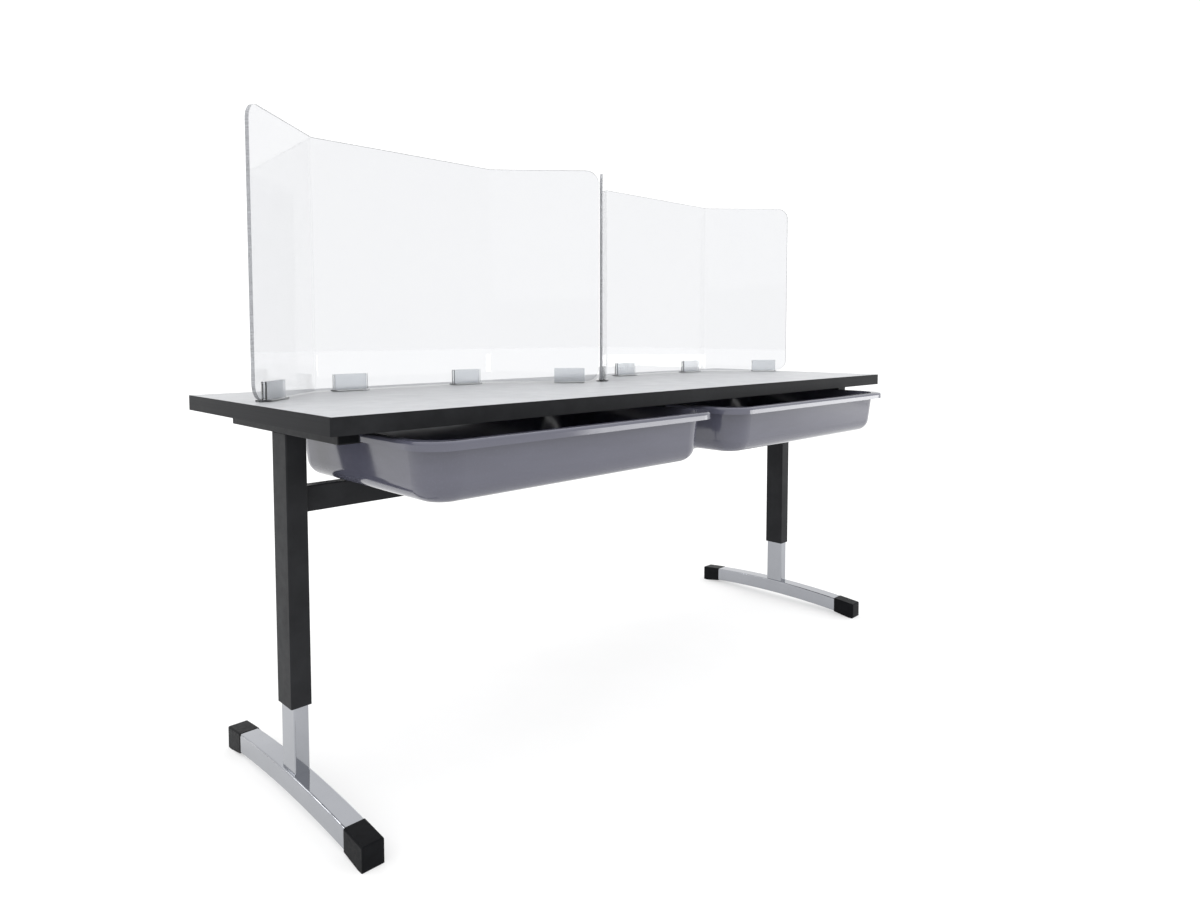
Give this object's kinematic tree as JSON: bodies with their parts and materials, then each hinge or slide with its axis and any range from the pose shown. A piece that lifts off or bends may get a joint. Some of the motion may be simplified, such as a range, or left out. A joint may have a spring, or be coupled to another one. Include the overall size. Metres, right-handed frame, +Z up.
{
  "type": "study carrel",
  "caption": "Study carrel table: laminate top on T-shaped height-adjustable legs, pull-out storage bins under the top, and clear folded privacy screens standing in slotted feet.",
  "frame": {"origin": "on the floor under the middle of the whole footprint, bins included", "axes": "+X to the right along the long side as a seated reader sees it, +Y to the back, away from the reader, +Z up"},
  "size_m": [1.524, 0.6004, 1.097],
  "materials": {
    "grey_laminate": "satin laminate with a fine speckle",
    "particleboard": "raw particleboard",
    "dark_backer": "matt backing sheet",
    "black_edge": "satin edge band",
    "black_frame": "satin powder coat",
    "chrome_tube": "bright plate",
    "black_plastic": "moulded, fine texture",
    "white_plastic": "moulded, smooth",
    "grey_bin": "glossy moulded plastic",
    "clear_sheet": "clear polished acrylic",
    "clear_foot": "clear moulded acrylic",
    "clear_pad": "soft mounting tape",
    "zinc_steel": "zinc plated"
  },
  "bodies": {
    "table": {"worktop_core": "particleboard", "worktop_laminate": "grey_laminate", "worktop_backer": "dark_backer", "worktop_edge_band": "black_edge", "stretcher": "black_frame", "stretcher_bolts": "zinc_steel", "runner_screws": "zinc_steel", "left_top_rail": "black_frame", "left_rail_end_plugs": "black_plastic", "left_rail_screws": "zinc_steel", "left_upper_leg": "black_frame", "left_leg_glides": "white_plastic", "left_height_lock_nuts": "black_frame", "left_height_lock_screws": "black_plastic", "left_stretcher_bracket": "black_frame", "left_bin_outer_runner": "black_frame", "left_bin_inner_runner": "black_frame", "left_screen_foot_pads": "clear_pad", "left_screen_left_wing_foot": "clear_foot", "left_screen_back_left_foot": "clear_foot", "left_screen_back_right_foot": "clear_foot", "left_screen_right_wing_foot": "clear_foot", "right_top_rail": "black_frame", "right_rail_end_plugs": "black_plastic", "right_rail_screws": "zinc_steel", "right_upper_leg": "black_frame", "right_leg_glides": "white_plastic", "right_height_lock_nuts": "black_frame", "right_height_lock_screws": "black_plastic", "right_stretcher_bracket": "black_frame", "right_bin_outer_runner": "black_frame", "right_bin_inner_runner": "black_frame", "right_screen_foot_pads": "clear_pad", "right_screen_left_wing_foot": "clear_foot", "right_screen_back_left_foot": "clear_foot", "right_screen_back_right_foot": "clear_foot", "right_screen_right_wing_foot": "clear_foot"},
    "left_lower_leg_and_foot": {"left_lower_leg": "chrome_tube", "left_lower_leg_guide": "white_plastic", "left_foot": "chrome_tube", "left_front_foot_cap": "black_plastic", "left_rear_foot_cap": "black_plastic"},
    "left_bin": {"left_bin": "grey_bin"},
    "left_screen": {"left_screen": "clear_sheet"},
    "right_lower_leg_and_foot": {"right_lower_leg": "chrome_tube", "right_lower_leg_guide": "white_plastic", "right_foot": "chrome_tube", "right_front_foot_cap": "black_plastic", "right_rear_foot_cap": "black_plastic"},
    "right_bin": {"right_bin": "grey_bin"},
    "right_screen": {"right_screen": "clear_sheet"}
  },
  "joints": [
    {"name": "left_leg_height", "type": "slide", "parent": "table", "child": "left_lower_leg_and_foot", "axis": [0, 0, -1], "range_m": [-0.095, 0.15]},
    {"name": "right_leg_height", "type": "slide", "parent": "table", "child": "right_lower_leg_and_foot", "axis": [0, 0, -1], "range_m": [-0.095, 0.15]},
    {"name": "left_bin_slide", "type": "slide", "parent": "table", "child": "left_bin", "axis": [0, -1, 0], "range_m": [-0.073, 0.18]},
    {"name": "right_bin_slide", "type": "slide", "parent": "table", "child": "right_bin", "axis": [0, -1, 0], "range_m": [-0.073, 0.18]},
    {"name": "left_screen_lift", "type": "slide", "parent": "table", "child": "left_screen", "axis": [0, 0, 1], "range_m": [0, 0.035]},
    {"name": "right_screen_lift", "type": "slide", "parent": "table", "child": "right_screen", "axis": [0, 0, 1], "range_m": [0, 0.035]}
  ],
  "couplings": [
    {"joint": "right_leg_height", "follows": "left_leg_height", "ratio": 1}
  ]
}
